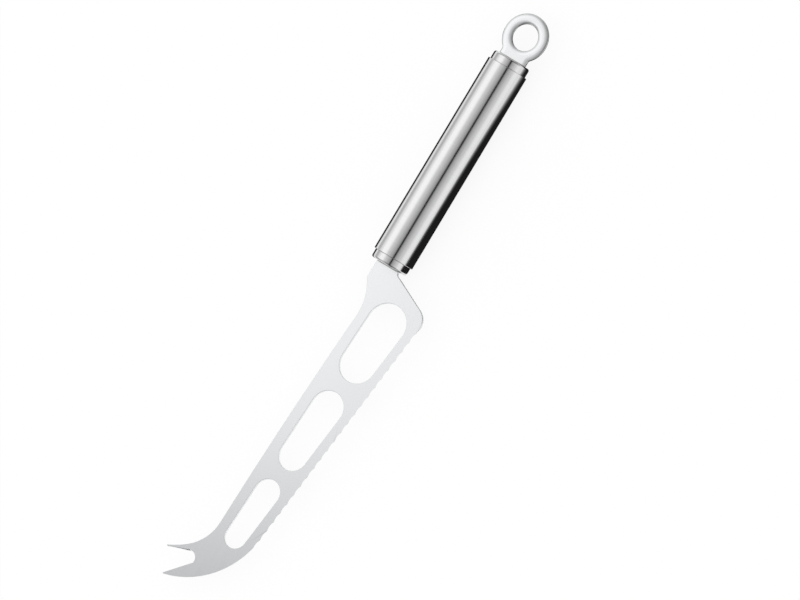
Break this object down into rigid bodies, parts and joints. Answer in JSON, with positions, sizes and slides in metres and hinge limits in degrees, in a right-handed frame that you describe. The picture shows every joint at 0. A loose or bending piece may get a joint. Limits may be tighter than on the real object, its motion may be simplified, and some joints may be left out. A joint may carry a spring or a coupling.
{
  "type": "cheese knife",
  "caption": "Cheese knife: a slotted steel blade with a scalloped edge and a forked tip, on a round hollow handle with a flat hanging eye.",
  "frame": {"origin": "centre of the hanging hole, in the middle of the eye's plate", "axes": "+X along the handle's axis to the blade's tip, +Y to the cutting edge, +Z along the hanging hole's axis, square to the plates"},
  "size_m": [0.2903, 0.0499, 0.019],
  "materials": {
    "blade_steel": "fine satin, ground edge",
    "tube_steel": "polished round the tube, fine grain",
    "cap_steel": "polished",
    "ring_steel": "fine satin",
    "braze": "dressed joining metal"
  },
  "bodies": {
    "root": {"blade": "blade_steel", "front_cap": "cap_steel", "front_cap_seam": "braze", "tang_weld": "braze", "handle_tube": "tube_steel", "rear_cap": "cap_steel", "rear_cap_seam": "braze", "stem_weld": "braze", "hanging_ring": "ring_steel"}
  },
  "joints": []
}
